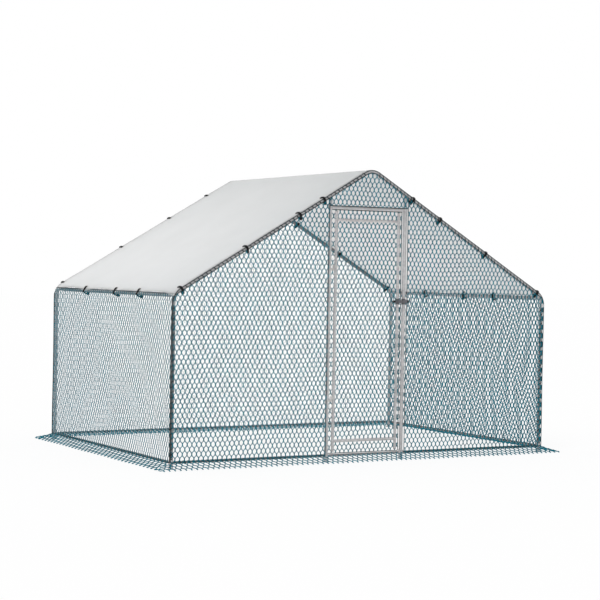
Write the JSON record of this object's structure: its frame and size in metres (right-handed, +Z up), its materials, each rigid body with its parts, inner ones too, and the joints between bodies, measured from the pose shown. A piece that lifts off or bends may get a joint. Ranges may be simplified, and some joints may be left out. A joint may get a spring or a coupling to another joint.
{
  "type": "walk-in chicken run",
  "caption": "Walk-in metal chicken run with a gabled tube frame, hexagonal wire netting, a hinged door with a slide latch, and a stretched roof cover on elastic ties.",
  "frame": {"origin": "on the ground under the middle of the run", "axes": "+X to the right seen from the door side, +Y to the rear, +Z up"},
  "size_m": [3.2486, 2.2786, 2.0127],
  "materials": {
    "galvanised_tube": "dull zinc coating",
    "zinc_hardware": "zinc plated",
    "coated_wire": "plastic-coated wire, satin",
    "cover_sheet": "coated woven sheet",
    "eyelet_metal": "pressed",
    "elastic_cord": "braided elastic",
    "black_plastic": "moulded"
  },
  "bodies": {
    "frame": {"corner_rail_fittings": "galvanised_tube", "cover_eyelets": "eyelet_metal", "door_bottom_tees": "galvanised_tube", "door_hinge_post": "galvanised_tube", "door_latch_post": "galvanised_tube", "door_lintel": "galvanised_tube", "door_lintel_tees": "galvanised_tube", "door_sill_rail": "galvanised_tube", "foot_plates": "galvanised_tube", "front_gable_net": "coated_wire", "front_left_bottom_rail": "galvanised_tube", "front_left_eave_elbow": "galvanised_tube", "front_left_net": "coated_wire", "front_left_post": "galvanised_tube", "front_left_rafter": "galvanised_tube", "front_ridge_elbow": "galvanised_tube", "front_right_bottom_rail": "galvanised_tube", "front_right_eave_elbow": "galvanised_tube", "front_right_net": "coated_wire", "front_right_post": "galvanised_tube", "front_right_rafter": "galvanised_tube", "front_skirt_net": "coated_wire", "hinge_pins": "zinc_hardware", "hinge_post_straps": "zinc_hardware", "latch_keeper": "zinc_hardware", "latch_keeper_knob": "black_plastic", "left_bottom_rail": "galvanised_tube", "left_eave_rail": "galvanised_tube", "left_skirt_net": "coated_wire", "left_wall_net": "coated_wire", "rafter_saddle_tees": "galvanised_tube", "rear_bottom_rail": "galvanised_tube", "rear_left_eave_elbow": "galvanised_tube", "rear_left_post": "galvanised_tube", "rear_left_rafter": "galvanised_tube", "rear_ridge_elbow": "galvanised_tube", "rear_right_eave_elbow": "galvanised_tube", "rear_right_post": "galvanised_tube", "rear_right_rafter": "galvanised_tube", "rear_skirt_net": "coated_wire", "rear_wall_net": "coated_wire", "ridge_rail": "galvanised_tube", "right_bottom_rail": "galvanised_tube", "right_eave_rail": "galvanised_tube", "right_skirt_net": "coated_wire", "right_wall_net": "coated_wire", "roof_cover": "cover_sheet", "tie_balls": "black_plastic", "tie_loops": "elastic_cord"},
    "door": {"door_hinge_stile": "galvanised_tube", "door_latch_stile": "galvanised_tube", "door_top_rail": "galvanised_tube", "door_bottom_rail": "galvanised_tube", "door_stile_caps": "black_plastic", "door_net": "coated_wire", "hinge_leaf_straps": "zinc_hardware", "latch_guide": "zinc_hardware"},
    "latch": {"latch_bolt": "zinc_hardware", "latch_bolt_knob": "black_plastic"}
  },
  "joints": [
    {"name": "door_hinge", "type": "hinge", "parent": "frame", "child": "door", "pos_m": [-0.3015, -1.03, 0.9], "axis": [0, 0, -1], "range_deg": [0, 150]},
    {"name": "latch_slide", "type": "slide", "parent": "door", "child": "latch", "axis": [1, 0, 0], "range_m": [0, 0.03]}
  ]
}
